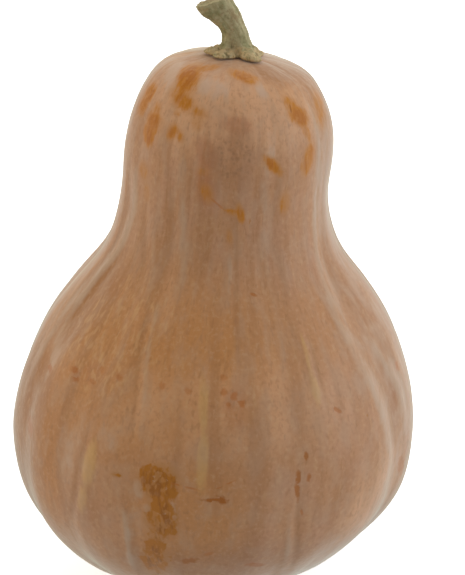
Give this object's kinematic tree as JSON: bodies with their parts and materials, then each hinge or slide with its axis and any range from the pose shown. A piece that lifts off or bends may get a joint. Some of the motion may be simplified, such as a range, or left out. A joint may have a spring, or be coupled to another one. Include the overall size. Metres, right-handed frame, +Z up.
{
  "type": "butternut squash",
  "caption": "Ribbed pear-shaped squash with a broad bulb, a long domed neck and a short dried stem cut at an angle; it stands on its blossom end",
  "frame": {"origin": "middle of the object's box at its lowest level, which is the flat ring round the blossom end that the fruit stands on", "axes": "+Z up from the blossom end to the stem, the longest extent; -Y is the front; the neck leans slightly towards +X"},
  "size_m": [0.141, 0.1406, 0.21],
  "materials": {
    "skin": "satin, waxy bloom over tan orange rind, with rubbed orange scuffs",
    "stem": "matt, dried fibrous green tan stalk, paler on its cut end"
  },
  "bodies": {
    "root": {"fruit": "skin", "stem": "stem"}
  },
  "joints": []
}
